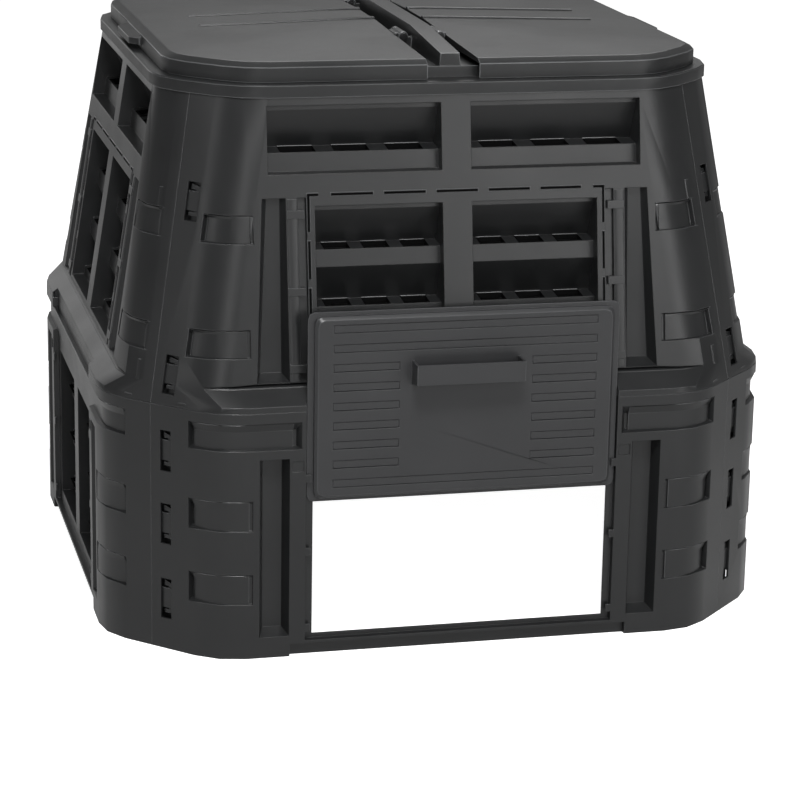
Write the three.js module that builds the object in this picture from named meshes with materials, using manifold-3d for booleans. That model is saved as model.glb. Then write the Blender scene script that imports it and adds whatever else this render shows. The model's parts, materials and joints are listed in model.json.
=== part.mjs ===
// Compost bin: a lower and an upper tier of four wall panels each, a sliding hatch
// and a lid whose two flaps are hinged on a ridge. Millimetres, +Z up, the front faces -Y,
// and the origin is on the ground under the middle of the space that the bin and its hatch take up.

import * as THREE from 'three';
import { mergeVertices } from 'three/addons/utils/BufferGeometryUtils.js';
import Module from 'manifold-3d';

const wasm = await Module();
wasm.setup();

// Whole bin
const binWidth = 933;
const wall = 3;
const gap = 0.4;
const draft = 1;
const overrun = 6;
const fade = 0.3;
const weldReach = 0.02;

// Outline from above: a square whose corners are cut off and rounded
const cornerRadius = 93;
const cornerSteps = 2;
const seamShift = 12.8;

// Lower tier
const lowerHeight = 338.8;
const lowerCornerCut = 136.3;

// Upper tier, which leans inwards above a shoulder
const upperHeight = 413.2;
const upperSetback = 21.2;
const upperCornerCut = 94.5;
const taperShare = 0.16;
const skirtHeight = 8.2;
const shoulderHeight = 15;
const shoulderRise = 5;
const slitHeight = 5.5;
const slitDepth = 6;

// Tabs inside the foot of the upper tier, which centre it on the lower one
const tabDrop = 10;
const tabLap = 7;
const tabFromSeamLeft = 44;
const tabFromSeamRight = 31.5;
const tabWidth = 12;

// Hatch opening and the sunken seat that the hatch slides in
const seatLedge = 10.5;
const hatchLow = 27.7;
const hatchHigh = 277;
const seatDepth = 8;
const seatLow = 21.2;
const footHeight = 17;

// Hooks over the seat's edges, and the small sunken square above the top pair
const hookReach = 6.5;
const hookHeight = 10.5;
const hookLevels = [39, 146, 247];
const squareMargin = 3;
const squareLow = 257;
const squareHigh = 272;
const sinkDepth = 1.6;

// Upright channels beside the seat, and the strip between them and the seat
const stripWidth = 22;
const channelWidth = 40;
const channelFromCorner = 16.7;
const channelSlope = 7;
const channelDepth = 20;
const channelLow = 29;
const channelHigh = 275.5;
const channelLedge = 8;

// Sunken pads and the long groove round the lower corners
const padFromChannel = 9;
const padFaceDepth = 3;
const padFromSeamLeft = 61;
const padFromSeamRight = 42;
const padDepth = 10;
const padHeight = 42;
const padLevels = [76, 178];
const padLedge = 3;
const padRamp = 12;
const grooveLow = 288;
const grooveHigh = 325;
const grooveEnd = 6;

// Clips that hold each panel to the next: a window in its left edge, a tongue on its right one
const clipFromSeam = 15.5;
const clipWidth = 17;
const clipHeight = 56;
const clipLevels = [43, 148, 249];
const tongueLap = 30;
const tongueReach = 36;
const tongueMargin = 8;
const tongueStartShare = 0.25;

// Louvres: windows with rows of plates that lean in behind them, each over a slotted floor and a strip
const ventInner = 20;
const ventFromSeat = 21;
const ventPitch = 74;
const ventStrip = 22.5;
const ventRecess = 18;
const ventDepth = 46;
const ventLip = 8.5;
const ventFloorFall = 3;
const ventSlotShares = [-0.31, 0, 0.31];
const ventSlotWidthShare = 0.2;
const ventSlotInset = 3.5;
const lowerVentTop = 262;
const lowerVentRows = 3;

// Upper panel's own features, by their rise above the lower tier
const upperVentRise = 259.7;
const upperVentRows = 3;
const upperVentFoot = 12;
const wideVentExtra = 61;
const wideVentClear = 42;
const wideVentPlate = 63;
const wideVentFoot = 24.5;
const railSlotWidth = 12;
const railSlotDepth = 5;
const railStripWidth = 15.5;
const railRise = 33.2;
const railHeight = 238;
const upperHookRises = [50.7, 150.2, 250.2];
const upperHookProud = 2;
const upperChannelShift = 4.5;
const upperChannelSplay = 12;
const upperChannelDepthLow = 22;
const upperChannelDepthHigh = 8;
const upperPadRises = [66.2, 213.2];
const upperPadHeight = 37;
const upperPadClear = 9;
const upperPadFromSeamLeft = 45;
const upperPadFromSeamRight = 22;
const upperPadRamp = 5;
const upperClipRises = [15.2, 238.2];
const upperClipHeight = 50;
const upperClipWidth = 20;

// Hatch, stored where it has been slid up
const hatchSidePlay = 1.5;
const hatchFlangeWidth = 8.5;
const hatchHeight = 257;
const hatchRise = 191.5;
const hatchPlay = 0.4;
const hatchPanelMargin = 5.5;
const hatchPanelProud = 9;
const hatchBevel = 4;
const hatchCornerRadius = 9;
const barTopInset = 16.3;
const barPitch = 26.2;
const barHeight = 11;
const barDepth = 2;
const barEndMargin = 24;
const barBlankHalfWidth = 90;
const barRows = 9;
const handleHalfWidth = 73.5;
const handleHigh = 189.5;
const handleHeight = 27;
const handleProud = 29;
const handleUnderslope = 6;

// Lid frame, seated on the rim of the upper tier
const lidSkirt = 14;
const curbInset = 33;
const curbHeight = 15;
const bridgeHalfWidth = 45;
const bridgeHeight = 13;
const ridgeHalfWidth = 15;
const ridgeRise = 14;

// Lid flaps
const flapInset = 10;
const flapRim = 20;
const flapEdge = 6;
const flapCrown = 9;
const flapCrownShare = 0.16;
const flapFromHinge = 9;
const flapWebClear = 5;
const gripHalfWidth = 70;
const gripProud = 16;
const gripHeight = 12;
const ribWidth = 12;
const ribProud = 2.5;
const ribReachShare = 0.8;
const ribSpreadShare = 0.8;

// Lid hinges
const hingeX = 26;
const hingeRise = 4.2;
const pinRadius = 3;
const pinPlay = 0.4;
const pinHead = 5;
const pinHeadLength = 3;
const knuckleRadius = 7;
const knuckleLength = 36;
const lugLength = 8;
const hingeFromMiddle = 165;
const roundSides = 12;

const plastic = new THREE.MeshStandardMaterial({ color: 0x2b2c2d, roughness: 0.55, metalness: 0 });
const hatchPlastic = new THREE.MeshStandardMaterial({ color: 0x333435, roughness: 0.5, metalness: 0 });
const pinPlastic = new THREE.MeshStandardMaterial({ color: 0x222223, roughness: 0.6, metalness: 0 });

const eighth = Math.PI / 4;
const halfBin = binWidth / 2;
const cornerTangent = cornerRadius * Math.tan(eighth / 2);
const faceEnd = halfBin - lowerCornerCut - cornerTangent;
const channelOuter = faceEnd - channelFromCorner;
const channelInner = channelOuter - channelWidth;
const seatHalfWidth = channelInner - stripWidth;
const hatchHalfWidth = seatHalfWidth - seatLedge;
const hatchFlangeHalfWidth = seatHalfWidth - hatchSidePlay;
const hatchPanelHalfWidth = hatchFlangeHalfWidth - hatchFlangeWidth;
const ventOuter = seatHalfWidth - ventFromSeat;
const upperChannelInner = channelInner - upperChannelShift;
const upperChannelOuterLow = channelOuter - draft;
const upperChannelOuterHigh = upperChannelOuterLow - upperChannelSplay;
const railSlotOuter = upperChannelInner - railStripWidth;
const railSlotInner = railSlotOuter - railSlotWidth;
const jointZ = lowerHeight + gap;
const skirtTop = lowerHeight + skirtHeight;
const crease = skirtTop + shoulderHeight;
const rimZ = lowerHeight + upperHeight;
const seatBackDepth = seatDepth + wall;
const plateZ = rimZ + gap;
const plateTop = plateZ + wall;
const curbTop = plateTop + curbHeight;
const flapLow = plateTop + gap;
const flapShoulder = flapLow + flapRim;
const flapTop = flapShoulder + flapEdge;
const hingeZ = flapTop + hingeRise;
const ridgeTop = hingeZ + ridgeRise;
const wideVentRise = upperVentRise + wideVentClear + wideVentFoot + wideVentPlate;
const railLow = lowerHeight + railRise;
const railHigh = railLow + railHeight;
const handleReach = handleProud + hatchPanelProud + wall + hatchPlay - seatDepth;

// Half width and corner cut of each tier at a height; the skirt's chamfers stay in the upper tier's planes
const lowerTier = { halfWidth: () => halfBin, cornerCut: () => lowerCornerCut };
const upperTier = {
  halfWidth: (z) => halfBin - upperSetback - taperShare * (z - lowerHeight),
  cornerCut: () => upperCornerCut,
};
const skirtTier = {
  halfWidth: () => halfBin,
  cornerCut: (z) => 2 * (halfBin - upperTier.halfWidth(z)) + upperCornerCut,
};

// Places along a panel's outline, ordered from its left seam to its right one
const onFace = (x) => ({ x: () => x, order: x / binWidth });
const leaning = (lowX, highX, low, high) => ({
  x: (z) => THREE.MathUtils.mapLinear(z, low, high, lowX, highX),
  order: lowX / binWidth,
});
const onCorner = (side, turn) => ({ side, turn, order: side * (1 + turn) });
const onChamfer = (side, fromSeam) => ({
  side, turn: eighth, fromSeam, order: side * (3 - fromSeam / binWidth),
});
const cornerPlaces = [-1, 1]
  .flatMap((side) => (
    Array.from({ length: cornerSteps + 1 }, (_, i) => onCorner(side, eighth * i / cornerSteps))))
  .sort((a, b) => a.order - b.order);

// How far a chamfer runs on from its rounded corner to a place near the seam
function chamferRun(place, cut) {
  return cut / Math.SQRT2 - cornerTangent - place.side * seamShift - place.fromSeam;
}

// The point at a place, a height and a depth behind the outer surface
function pointAt(place, { tier, z, depth }) {
  const half = tier.halfWidth(z);
  if (place.x) return new THREE.Vector3(place.x(z), depth - half, z);
  const cut = tier.cornerCut(z);
  const flat = half - cut - cornerTangent;
  const radius = cornerRadius - depth;
  const sin = Math.sin(place.turn);
  const cos = Math.cos(place.turn);
  const run = place.fromSeam === undefined ? 0 : chamferRun(place, cut);
  const x = flat + radius * sin + run * cos;
  const y = cornerRadius - half - radius * cos + run * sin;
  return new THREE.Vector3(place.side * x, y, z);
}

// Distance along the outline from the middle of the face
function travel(place, tier, z) {
  if (place.x) return place.x(z);
  const cut = tier.cornerCut(z);
  const flat = tier.halfWidth(z) - cut - cornerTangent;
  const run = place.fromSeam === undefined ? 0 : chamferRun(place, cut);
  return place.side * (flat + cornerRadius * place.turn + run);
}

// Adds the corner places that lie between the given stops, with their depth in proportion
function fill(stops, tier, z) {
  const full = [stops[0]];
  stops.slice(1).forEach((stop, i) => {
    const before = stops[i];
    const start = travel(before.place, tier, z);
    const end = travel(stop.place, tier, z);
    const between = cornerPlaces.filter(({ order }) => (
      order > before.place.order && order < stop.place.order));
    for (const place of between) {
      const depth = THREE.MathUtils.mapLinear(travel(place, tier, z), start, end, before.depth, stop.depth);
      full.push({ place, depth });
    }
    full.push(stop);
  });
  return full;
}

// A solid from points and triangles, turned so that its faces point out
function solidFrom(points, triangles) {
  let volume = 0;
  for (let i = 0; i < triangles.length; i += 3) {
    const [a, b, c] = triangles.slice(i, i + 3).map((index) => points[index]);
    volume += a.dot(b.clone().cross(c));
  }
  if (volume < 0) triangles.reverse();
  const vertProperties = new Float32Array(points.flatMap((p) => [p.x, p.y, p.z]));
  const triVerts = new Uint32Array(triangles);
  return new wasm.Manifold(new wasm.Mesh({ numProp: 3, vertProperties, triVerts }));
}

// A solid through rings of points. A ladder of triangles between the start and the end of each
// list of points closes the end rings, which suits convex rings and bent strips.
function loft(rings) {
  const count = rings[0].length;
  const triangles = [];
  for (let i = 0; i + 1 < rings.length; i++) {
    for (let j = 0; j < count; j++) {
      const a = i * count + j;
      const b = i * count + (j + 1) % count;
      triangles.push(a, b, b + count, a, b + count, a + count);
    }
  }
  const last = (rings.length - 1) * count;
  const close = (a, b, c) => triangles.push(a, c, b, last + a, last + b, last + c);
  for (let near = 0, far = count - 1; near + 1 < far; near++, far--) {
    close(near, near + 1, far);
    if (near + 1 < far - 1) close(near + 1, far - 1, far);
  }
  return solidFrom(rings.flat(), triangles);
}

// A section swept along the outline; the section is a list of [height, depth]
function sweep(tier, stops, section) {
  return loft(stops.map((stop) => (
    section(stop).map(([z, depth]) => pointAt(stop.place, { tier, z, depth })))));
}

function fromGeometry(geometry) {
  geometry.deleteAttribute('normal');
  geometry.deleteAttribute('uv');
  const merged = mergeVertices(geometry);
  const points = [];
  for (let i = 0; i < merged.attributes.position.count; i++) {
    points.push(new THREE.Vector3().fromBufferAttribute(merged.attributes.position, i));
  }
  return solidFrom(points, Array.from(merged.index.array));
}

function block(low, high) {
  const size = high.clone().sub(low);
  const middle = low.clone().add(high).divideScalar(2);
  return fromGeometry(new THREE.BoxGeometry(size.x, size.y, size.z).translate(middle.x, middle.y, middle.z));
}

const at = (x, y, z) => new THREE.Vector3(x, y, z);
const join = (solids) => solids.reduce((whole, solid) => whole.add(solid));
const cutAll = (body, solids) => solids.reduce((whole, solid) => whole.subtract(solid), body);

// Joins the points that a cut leaves closer together than the weld's reach
function weld({ vertProperties, triVerts }) {
  const kept = [];
  const keptIndex = [];
  for (let i = 0; i < vertProperties.length; i += 3) {
    const point = new THREE.Vector3().fromArray(vertProperties, i);
    let index = kept.findIndex((other) => other.distanceTo(point) < weldReach);
    if (index < 0) index = kept.push(point) - 1;
    keptIndex.push(index);
  }
  const triangles = [];
  for (let i = 0; i < triVerts.length; i += 3) {
    const [a, b, c] = [keptIndex[triVerts[i]], keptIndex[triVerts[i + 1]], keptIndex[triVerts[i + 2]]];
    if (a !== b && b !== c && c !== a) triangles.push(a, b, c);
  }
  return { points: kept, triangles };
}

function toMesh(solid, name, material) {
  const { points, triangles } = weld(solid.getMesh());
  const geometry = new THREE.BufferGeometry().setFromPoints(points);
  geometry.setIndex(triangles);
  geometry.computeVertexNormals();
  const mesh = new THREE.Mesh(geometry, material);
  mesh.name = name;
  return mesh;
}

const stop = (place, depth = 0) => ({ place, depth });
const widen = ({ place, depth }, by) => {
  if (place.x) return stop({ x: (z) => place.x(z) + by, order: place.order }, depth);
  return stop(onChamfer(place.side, place.fromSeam - place.side * by), depth);
};

// A pocket in a panel and the moulded wall behind it. The floor's edges slope in by the ledge
// below and the ramp above, and the wall behind stays between the tier's limits.
function pocket(tier, stops, low, high, { ledge = draft, ramp = draft, limits }) {
  const middle = (low + high) / 2;
  const deepest = Math.max(...stops.map(({ depth }) => depth));
  const inside = fill(stops, tier, middle);
  const cut = sweep(tier, inside, ({ depth }) => {
    const share = depth / deepest;
    return [
      [low, -overrun], [low, 0], [low + ledge * share, depth],
      [high - ramp * share, depth], [high, 0], [high, -overrun],
    ];
  });
  const first = widen(stops[0], -wall);
  const final = widen(stops.at(-1), wall);
  const outside = fill([first, ...stops.slice(1, -1), final], tier, middle);
  const backLow = Math.max(low - wall, limits.low);
  const backHigh = Math.min(high + wall, limits.high);
  const back = sweep(tier, outside, ({ depth }) => {
    const share = depth / deepest;
    const kneeHigh = Math.min(high - ramp * share + wall / 2, backHigh);
    return [
      [backLow, wall / 2], [Math.max(low + ledge * share - wall / 2, backLow), depth + wall],
      [kneeHigh, depth + wall], [backHigh, wall / 2],
    ];
  });
  return { cut, back };
}

// A pocket round one corner, shallow on the face and deep at its end on the chamfer
function cornerPocket(tier, side, inner, fromSeam, depth, low, high, shape) {
  const stops = [stop(onChamfer(side, fromSeam), depth), stop(onFace(side * inner), padFaceDepth)];
  return pocket(tier, side < 0 ? stops : stops.reverse(), low, high, shape);
}

// A window with rows of louvres behind it: under each plate that leans in lie a floor with holes and a strip
function louvres(tier, from, to, { high, plate, rows, foot }) {
  const floors = Array.from({ length: rows }, (_, row) => high - ventLip - plate - row * ventPitch);
  const low = floors.at(-1) - foot;
  const profile = (grow, drop) => [
    [high + grow, ventRecess + grow], [high - ventLip, ventRecess + grow],
    ...floors.flatMap((floor, row) => [
      [floor + ventFloorFall - drop, ventDepth + grow], [floor - drop, ventRecess + grow],
      [row + 1 < rows ? floor - ventStrip : low - grow, ventRecess + grow],
    ]),
  ];
  const strip = (front, points) => [...points, ...points.map(([z]) => [z, front]).reverse()];
  const cut = sweep(tier, [stop(onFace(from)), stop(onFace(to))], () => strip(-overrun, profile(0, 0)));
  const outside = [stop(onFace(from - wall)), stop(onFace(to + wall))];
  const back = sweep(tier, outside, () => strip(wall / 2, profile(wall, wall)));
  const slots = floors.flatMap((floor) => ventSlotShares.map((share) => {
    const middle = (from + to) / 2 + share * (to - from);
    const half = ventSlotWidthShare * (to - from) / 2;
    const sides = [stop(onFace(middle - half)), stop(onFace(middle + half))];
    return sweep(tier, sides, () => [
      [floor - 2 * wall, ventRecess + ventSlotInset], [floor - 2 * wall, ventDepth - wall],
      [floor + ventFloorFall, ventDepth - wall], [floor + ventFloorFall, ventRecess + ventSlotInset],
    ]);
  }));
  return { cut, back, slots };
}

// The same louvres on both sides of the middle
function louvrePair(tier, outer, shape) {
  return [louvres(tier, -outer, -ventInner, shape), louvres(tier, ventInner, outer, shape)];
}

// The tongue on a panel's right edge, which fills the next panel's window from behind
function tongue(tier, low, height) {
  const seat = wall + gap;
  const stops = [
    stop(onChamfer(1, tongueLap), wall / 2), stop(onChamfer(1, tongueMargin), wall / 2),
    stop(onChamfer(1, tongueMargin), seat), stop(onChamfer(1, -tongueReach), seat),
  ];
  const bladeLow = low + height * tongueStartShare;
  const bladeHigh = low + height * (1 - tongueStartShare);
  return sweep(tier, stops, ({ depth }) => [
    [bladeLow, depth], [bladeLow, seat + wall], [bladeHigh, seat + wall], [bladeHigh, depth],
  ]);
}

function clipWindow(tier, low, height, width) {
  const sides = [stop(onChamfer(-1, clipFromSeam)), stop(onChamfer(-1, clipFromSeam + width))];
  return sweep(tier, sides, () => [
    [low, -overrun], [low, wall + overrun], [low + height, wall + overrun], [low + height, -overrun],
  ]);
}

// A hook: a tab that reaches in over a sunken edge, level with the outer wall or proud of it
function hook(tier, side, root, reach, level, proud) {
  const ends = [stop(onFace(side * (root - reach))), stop(onFace(side * (root + draft)))];
  const low = level - hookHeight / 2;
  const high = level + hookHeight / 2;
  return sweep(tier, side < 0 ? ends.reverse() : ends, () => [
    [low, -proud], [low, wall], [high, wall], [high, -proud],
  ]);
}

// An upright channel with sloping sides; its floor may lean and its outer side may splay
function channel(tier, side, shape) {
  const { inner, outerLow, outerHigh, low, high, depthLow, depthHigh, limits } = shape;
  const outer = (by) => leaning(side * (outerLow + by), side * (outerHigh + by), low, high);
  const posts = (by) => [
    stop(onFace(side * (inner - by)), 0), stop(onFace(side * (inner + channelSlope)), 1),
    stop(outer(-channelSlope), 1), stop(outer(by), 0),
  ];
  const ordered = (list) => (side < 0 ? list.reverse() : list);
  const cut = sweep(tier, ordered(posts(0)), ({ depth: share }) => [
    [low, -overrun], [low, 0], [low + channelLedge * share, fade + depthLow * share],
    [high - draft * share, fade + depthHigh * share], [high, 0], [high, -overrun],
  ]);
  const back = sweep(tier, ordered(posts(wall)), ({ depth: share }) => [
    [Math.max(low - wall, limits.low), wall / 2],
    [low + (channelLedge - wall) * share, wall + depthLow * share],
    [high + wall / 2, wall + depthHigh * share], [high + wall, wall / 2],
  ]);
  return { cut, back };
}

// The plain wall of a lower panel between its two seams
function lowerWall() {
  const seams = [stop(onChamfer(-1, gap / 2)), stop(onChamfer(1, gap / 2))];
  return sweep(lowerTier, fill(seams, lowerTier, 0), () => [
    [0, 0], [0, wall], [lowerHeight, wall], [lowerHeight, 0],
  ]);
}

const lowerLimits = { low: 0, high: lowerHeight };

// A sunken stretch of the face between two straight edges
function facePocket(tier, halfWidth, depth, low, high, limits) {
  const stops = [
    stop(onFace(-halfWidth), fade), stop(onFace(draft - halfWidth), depth),
    stop(onFace(halfWidth - draft), depth), stop(onFace(halfWidth), fade),
  ];
  return pocket(tier, stops, low, high, { limits });
}

function lowerPockets(hasHatch) {
  const inner = channelOuter + padFromChannel;
  const pads = padLevels.flatMap((low) => {
    const shape = { ledge: padLedge, ramp: padRamp, limits: lowerLimits };
    return [
      cornerPocket(lowerTier, -1, inner, padFromSeamLeft, padDepth, low, low + padHeight, shape),
      cornerPocket(lowerTier, 1, inner, padFromSeamRight, padDepth, low, low + padHeight, shape),
    ];
  });
  const grooveShape = { ledge: padLedge, ramp: padRamp, limits: lowerLimits };
  const grooves = grooveStretches(hasHatch).map((stops) => (
    pocket(lowerTier, stops, grooveLow, grooveHigh, grooveShape)));
  const channels = [-1, 1].map((side) => channel(lowerTier, side, {
    inner: channelInner, outerLow: channelOuter, outerHigh: channelOuter, low: channelLow, high: channelHigh,
    depthLow: channelDepth, depthHigh: channelDepth, limits: lowerLimits,
  }));
  const foot = facePocket(lowerTier, channelInner - draft, seatDepth, -overrun, footHeight, lowerLimits);
  const seatTop = lowerHeight + overrun;
  const seat = facePocket(lowerTier, seatHalfWidth, seatDepth, seatLow, seatTop, lowerLimits);
  return [...pads, ...grooves, ...channels, foot, seat];
}

// The long groove, broken by the hatch's path on a panel that has one
function grooveStretches(hasHatch) {
  const left = stop(onChamfer(-1, padFromSeamLeft), padDepth);
  const right = stop(onChamfer(1, padFromSeamRight), padDepth);
  if (!hasHatch) return [[left, right]];
  const inner = seatHalfWidth + grooveEnd;
  return [
    [left, stop(onFace(-inner - grooveEnd), padDepth), stop(onFace(-inner), fade)],
    [stop(onFace(inner), fade), stop(onFace(inner + grooveEnd), padDepth), right],
  ];
}

function lowerPanel(hasHatch) {
  const pockets = lowerPockets(hasHatch);
  const plate = ventPitch - ventStrip - ventLip;
  const field = { high: lowerVentTop, plate, rows: lowerVentRows, foot: ventStrip };
  const vents = hasHatch ? [] : louvrePair(seatTier, ventOuter, field);
  const backs = [...pockets, ...vents].map(({ back }) => back);
  const cuts = [...pockets, ...vents].map(({ cut }) => cut);
  const windows = clipLevels.map((low) => clipWindow(lowerTier, low, clipHeight, clipWidth));
  const hooks = hookLevels.flatMap((level) => (
    [-1, 1].map((side) => hook(lowerTier, side, seatHalfWidth, hookReach, level, 0))));
  const tongues = clipLevels.map((low) => tongue(lowerTier, low, clipHeight));
  const squareInner = seatHalfWidth + squareMargin;
  const squareOuter = channelInner - squareMargin;
  const sinks = [-1, 1].map((side) => sink(lowerTier, side, squareInner, squareOuter, squareLow, squareHigh));
  let body = cutAll(join([lowerWall(), ...backs]), [...cuts, ...windows, ...sinks]);
  if (hasHatch) body = body.subtract(hatchOpening());
  body = cutAll(body, vents.flatMap(({ slots }) => slots));
  return join([body, ...hooks, ...tongues]);
}

// The seat's floor, for what is cut into it
const seatTier = { halfWidth: () => halfBin - seatDepth, cornerCut: () => lowerCornerCut };

function hatchOpening() {
  const face = seatDepth - halfBin;
  return block(
    at(-hatchHalfWidth, face - overrun, hatchLow),
    at(hatchHalfWidth, face + wall + overrun, hatchHigh),
  );
}

// The height where the shoulder meets the tapered wall, which rises towards the corners
function creaseAt(place) {
  const end = Math.abs(travel(cornerPlaces[0], upperTier, crease));
  const share = Math.min(Math.abs(travel(place, upperTier, crease)) / end, 1);
  return crease + shoulderRise * share * share;
}

// The wall of an upper panel: an upright skirt, a shoulder that leans back and the tapered wall
function upperWall() {
  const seams = [stop(onChamfer(-1, gap / 2)), stop(onChamfer(1, gap / 2))];
  const places = fill(seams, upperTier, crease);
  const levels = (place, depth) => [
    { tier: skirtTier, z: jointZ, depth }, { tier: skirtTier, z: skirtTop, depth },
    { tier: upperTier, z: creaseAt(place), depth }, { tier: upperTier, z: rimZ, depth },
  ];
  return loft(places.map(({ place }) => (
    [...levels(place, 0), ...levels(place, wall).reverse()].map((corner) => pointAt(place, corner)))));
}

// The slit in which the shoulder runs on under the foot of the tapered wall, shallower towards the corners
function shoulderSlit() {
  const slope = shoulderHeight / upperSetback;
  const lastTurn = cornerPlaces.at(-2).turn;
  const stops = fill([
    stop(onCorner(-1, lastTurn), draft), stop(onFace(-channelOuter), slitDepth),
    stop(onFace(channelOuter), slitDepth), stop(onCorner(1, lastTurn), draft),
  ], upperTier, crease);
  const cut = sweep(upperTier, stops, ({ place, depth }) => {
    const low = creaseAt(place) + draft;
    const high = low + slitHeight * depth / slitDepth;
    return [
      [low, -overrun], [low, 0], [low + slope * depth, depth],
      [high + fade, depth], [high + fade, 0], [high + fade, -overrun],
    ];
  });
  const back = sweep(upperTier, stops, ({ place, depth }) => {
    const low = creaseAt(place) + draft;
    const high = low + slitHeight + wall;
    return [
      [low, wall / 2], [low + slope * depth - wall / 2, depth + wall], [high, depth + wall], [high, wall / 2],
    ];
  });
  return { cut, back };
}

// The hatch's path through the skirt and the shoulder
function shoulderNotch() {
  const slope = shoulderHeight / upperSetback;
  const low = wall + wall / 2;
  const topAt = (depth) => skirtTop + slope * depth - wall / 2;
  const sides = [stop(onFace(-seatHalfWidth)), stop(onFace(seatHalfWidth))];
  const wide = [stop(onFace(-seatHalfWidth - wall)), stop(onFace(seatHalfWidth + wall))];
  const cut = sweep(skirtTier, sides, () => [
    [jointZ - overrun, -overrun], [jointZ - overrun, seatDepth], [crease, seatDepth], [crease, -overrun],
  ]);
  const back = sweep(skirtTier, wide, () => [
    [jointZ, low], [jointZ, seatBackDepth], [topAt(seatBackDepth), seatBackDepth], [topAt(low), low],
  ]);
  return { cut, back };
}

// A tab on a chamfer that hangs inside the lower tier
function locatingTab(side) {
  const near = side < 0 ? tabFromSeamLeft : tabFromSeamRight;
  const ends = [stop(onChamfer(side, near)), stop(onChamfer(side, near + tabWidth))];
  const places = side < 0 ? ends : ends.reverse();
  const front = wall + gap;
  const low = lowerHeight - tabDrop;
  const high = jointZ + tabLap;
  return join([
    sweep(lowerTier, places, () => [[low, front], [low, front + wall], [high, front + wall], [high, front]]),
    sweep(lowerTier, places, () => [
      [jointZ, wall / 2], [jointZ, front + wall], [high, front + wall], [high, wall / 2],
    ]),
  ]);
}

const upperLimits = { low: crease, high: rimZ };
const aboveJoint = (rise) => lowerHeight + rise;

// The upper channels' outer edge, which splays towards the foot
const upperChannelOuter = (z) => (
  THREE.MathUtils.mapLinear(z, railLow, railHigh, upperChannelOuterLow, upperChannelOuterHigh));

function upperPockets() {
  const pads = upperPadRises.map(aboveJoint).flatMap((low) => {
    const shape = { ledge: padLedge, ramp: upperPadRamp, limits: upperLimits };
    const high = low + upperPadHeight;
    const inner = upperChannelOuter(low) + upperPadClear;
    return [
      cornerPocket(upperTier, -1, inner, upperPadFromSeamLeft, padDepth, low, high, shape),
      cornerPocket(upperTier, 1, inner, upperPadFromSeamRight, padDepth, low, high, shape),
    ];
  });
  const channels = [-1, 1].map((side) => channel(upperTier, side, {
    inner: upperChannelInner, outerLow: upperChannelOuterLow, outerHigh: upperChannelOuterHigh,
    low: railLow, high: railHigh, depthLow: upperChannelDepthLow, depthHigh: upperChannelDepthHigh,
    limits: upperLimits,
  }));
  const rails = [-1, 1].map((side) => railSlot(side));
  return [...pads, ...channels, ...rails, shoulderNotch(), shoulderSlit()];
}

// A slot for the hatch's edge beside the louvres
function railSlot(side) {
  const ends = [
    stop(onFace(side * railSlotInner), fade), stop(onFace(side * (railSlotInner + draft)), railSlotDepth),
    stop(onFace(side * (railSlotOuter - draft)), railSlotDepth), stop(onFace(side * railSlotOuter), fade),
  ];
  return pocket(upperTier, side < 0 ? ends.reverse() : ends, railLow, railHigh, { limits: upperLimits });
}

// A rectangle sunk less than a wall deep on one side of the face
function sink(tier, side, inner, outer, low, high) {
  const ends = [stop(onFace(side * inner)), stop(onFace(side * outer))];
  return sweep(tier, side < 0 ? ends.reverse() : ends, () => [
    [low, -overrun], [low, sinkDepth], [high, sinkDepth], [high, -overrun],
  ]);
}

function upperVents() {
  const plate = ventPitch - ventStrip;
  const field = { high: aboveJoint(upperVentRise), plate, rows: upperVentRows, foot: upperVentFoot };
  const widePlate = wideVentPlate - ventLip;
  const wide = { high: aboveJoint(wideVentRise), plate: widePlate, rows: 1, foot: wideVentFoot };
  return [
    ...louvrePair(upperTier, ventOuter, field),
    ...louvrePair(upperTier, ventOuter + wideVentExtra, wide),
  ];
}

function upperPanel() {
  const pockets = upperPockets();
  const vents = upperVents();
  const backs = [...pockets, ...vents].map(({ back }) => back);
  const cuts = [...pockets, ...vents].map(({ cut }) => cut);
  const clips = upperClipRises.map(aboveJoint);
  const windows = clips.map((low) => clipWindow(upperTier, low, upperClipHeight, upperClipWidth));
  const tongues = clips.map((low) => tongue(upperTier, low, upperClipHeight));
  const hookRoot = upperChannelInner - 2 * draft;
  const reach = hookRoot - seatHalfWidth + hookReach;
  const hooks = upperHookRises.map(aboveJoint).flatMap((level) => (
    [-1, 1].map((side) => hook(upperTier, side, hookRoot, reach, level, upperHookProud))));
  let body = cutAll(join([upperWall(), ...backs]), [...cuts, ...windows]);
  body = cutAll(body, vents.flatMap(({ slots }) => slots));
  return join([body, ...hooks, ...tongues, locatingTab(-1), locatingTab(1)]);
}

// A rectangle with rounded corners in the hatch's plane
function plateRing(halfWidth, low, high, radius, y) {
  const centres = [[1, high, 0], [-1, high, 1], [-1, low, 2], [1, low, 3]];
  return centres.flatMap(([side, z, quarter]) => (
    Array.from({ length: cornerSteps + 1 }, (_, i) => {
      const turn = 2 * eighth * (quarter + i / cornerSteps);
      const inset = z === high ? -radius : radius;
      const x = side * (halfWidth - radius) + radius * Math.cos(turn);
      return at(x, y, z + inset + radius * Math.sin(turn));
    })
  ));
}

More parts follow.
